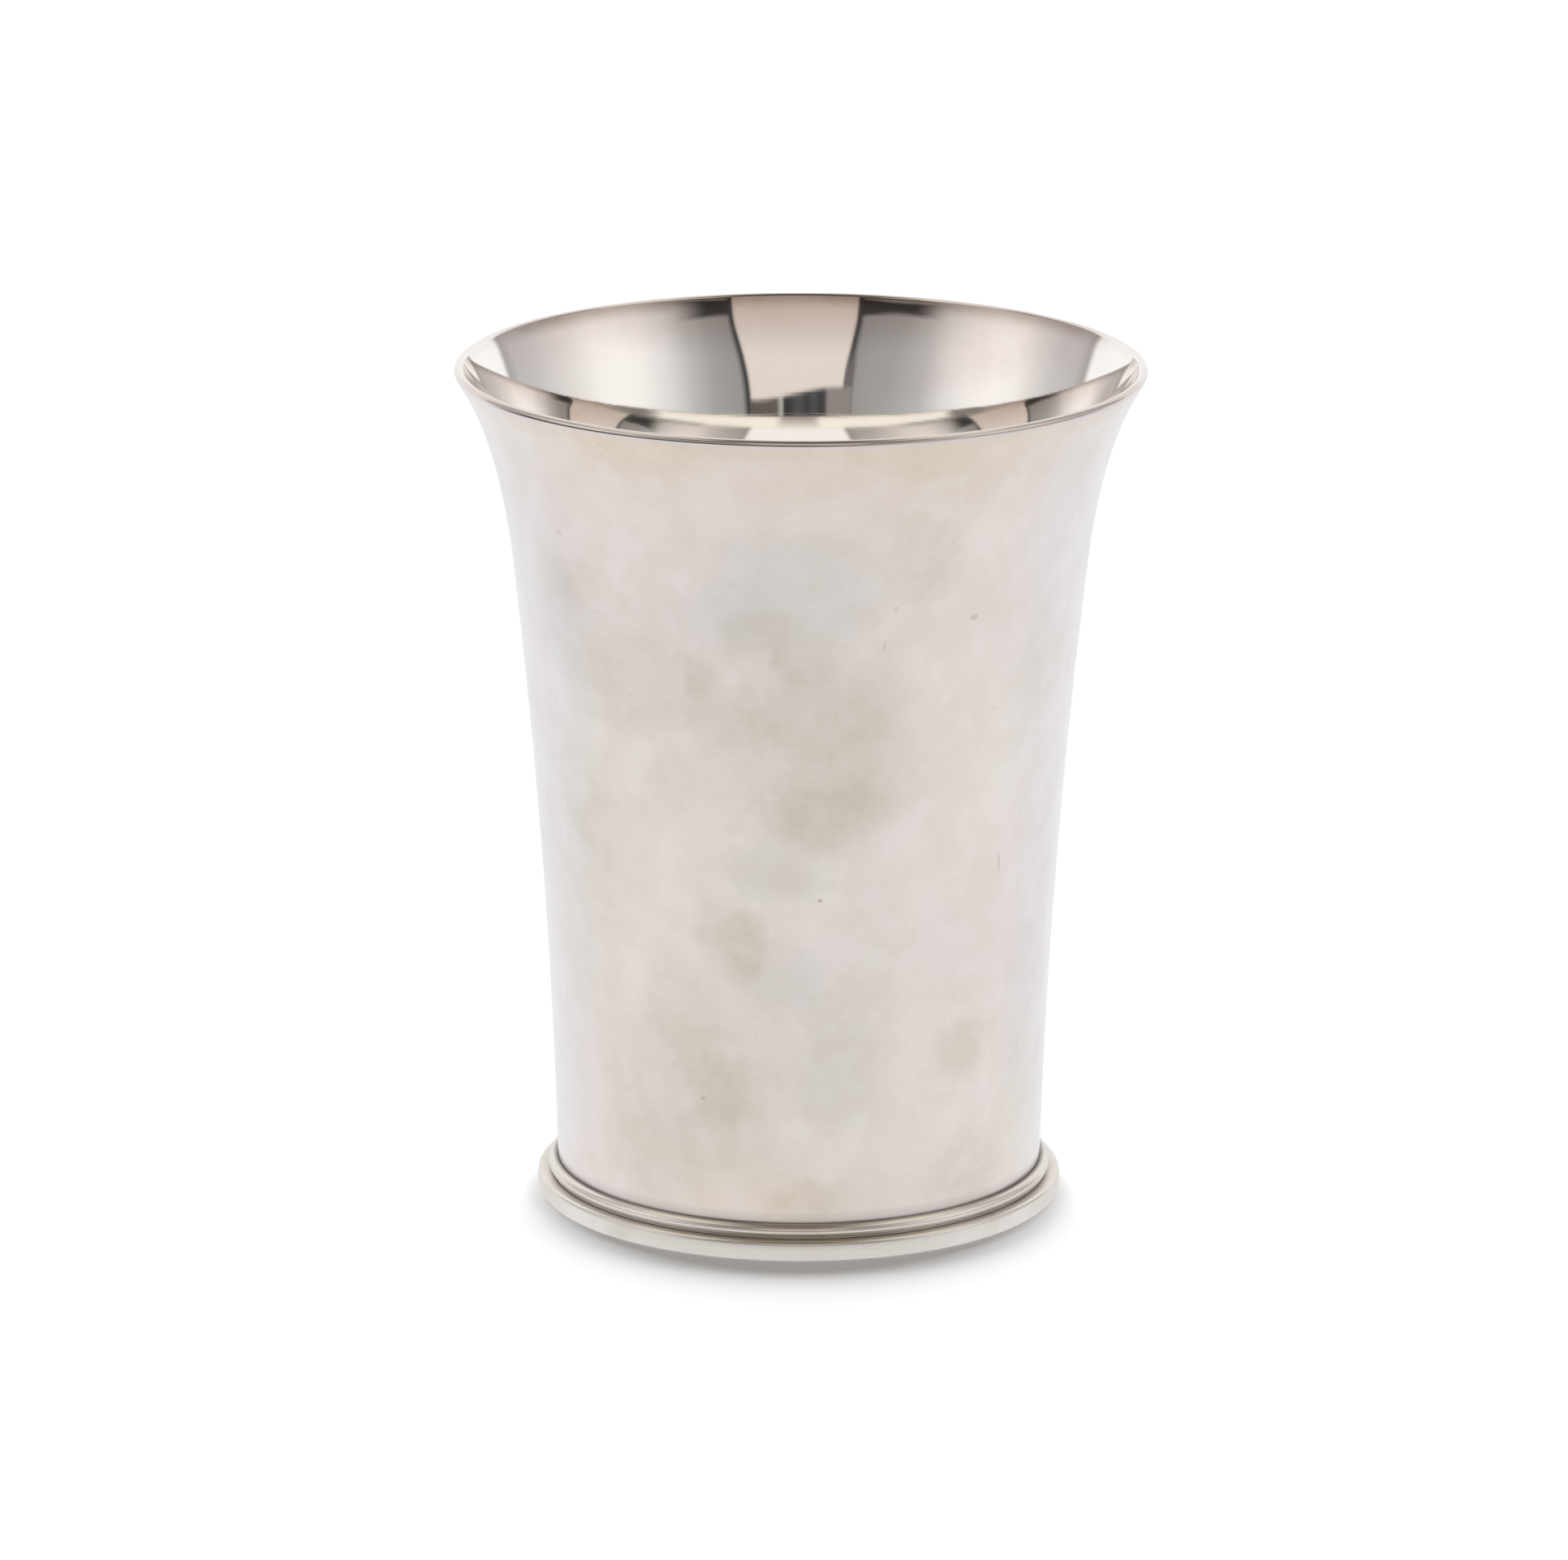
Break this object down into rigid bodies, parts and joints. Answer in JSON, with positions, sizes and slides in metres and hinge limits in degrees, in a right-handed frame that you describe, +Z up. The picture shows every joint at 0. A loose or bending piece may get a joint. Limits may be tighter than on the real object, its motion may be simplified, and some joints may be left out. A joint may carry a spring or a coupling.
{
  "type": "drinking beaker",
  "caption": "Plain silver drinking beaker: a tapered wall flaring to a rounded lip, a flat inset base and a reeded foot; it stands on a table and holds a drink.",
  "frame": {"origin": "centre of the circle that the foot stands on, at table level", "axes": "+Z up along the beaker's axis, out of the mouth; X and Y are alike, because the beaker is round"},
  "size_m": [0.081, 0.081, 0.1],
  "materials": {
    "wall_silver": "hand-polished sterling silver, mirror bright inside, with soft patches of warm tarnish outside",
    "base_silver": "polished sterling silver, finely scratched by use",
    "foot_silver": "polished sterling silver with dark tarnish left in the grooves"
  },
  "bodies": {
    "root": {"body_wall": "wall_silver", "base_disc": "base_silver", "foot_reed": "foot_silver", "foot_band": "foot_silver"}
  },
  "joints": []
}
